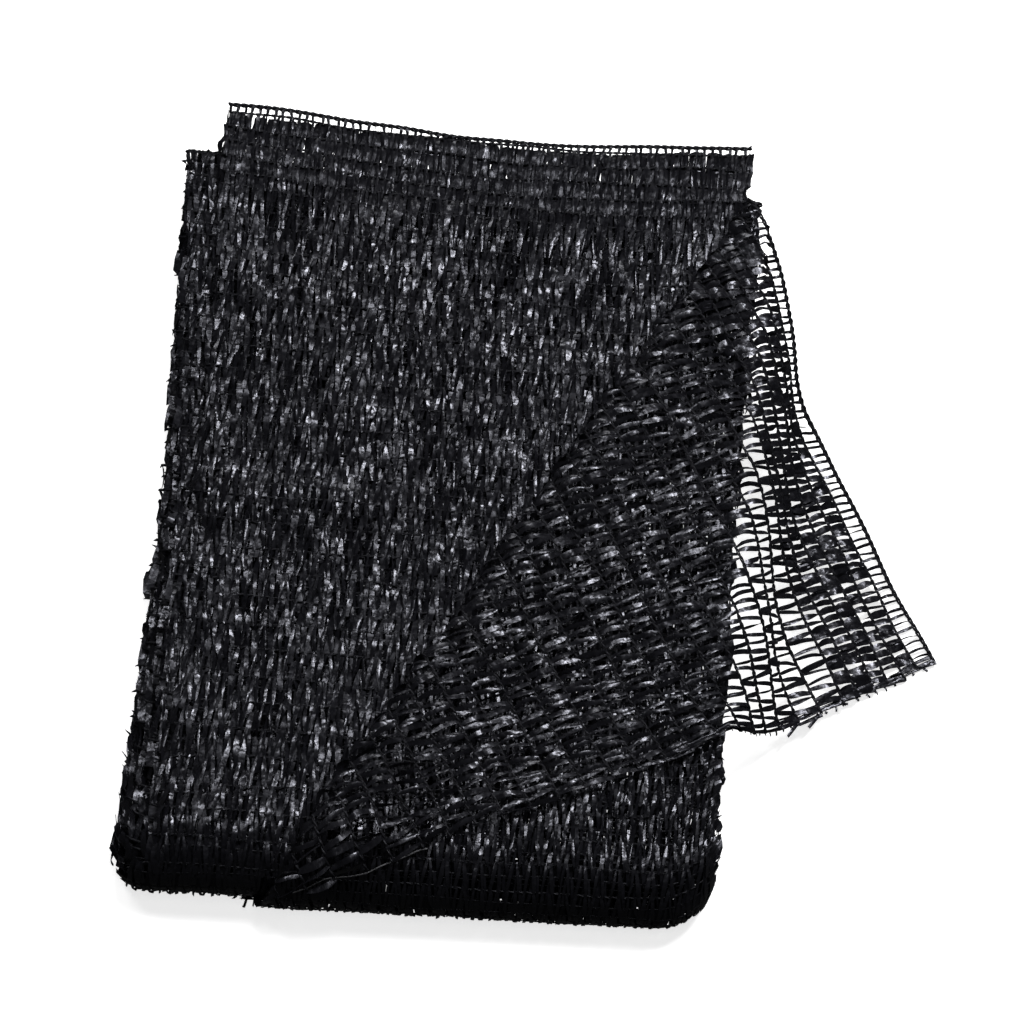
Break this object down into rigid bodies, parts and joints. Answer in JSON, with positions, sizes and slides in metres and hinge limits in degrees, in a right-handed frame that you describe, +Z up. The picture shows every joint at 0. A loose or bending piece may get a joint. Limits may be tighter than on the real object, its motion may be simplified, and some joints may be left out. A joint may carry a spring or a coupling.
{
  "type": "folded shade netting",
  "caption": "Knitted shade netting folded into a flat pack, with one corner turned over the top and falling over the side.",
  "frame": {"origin": "on the ground under the middle of the whole, the fallen corner included", "axes": "+X to the right along the rounded front fold, towards the fallen corner; +Y back, towards the selvedges; +Z up"},
  "size_m": [0.3808, 0.4012, 0.0538],
  "materials": {
    "net": "black knitted polyethylene tape and thread, slightly glossy"
  },
  "bodies": {
    "root": {"net_sheet": "net"}
  },
  "joints": []
}
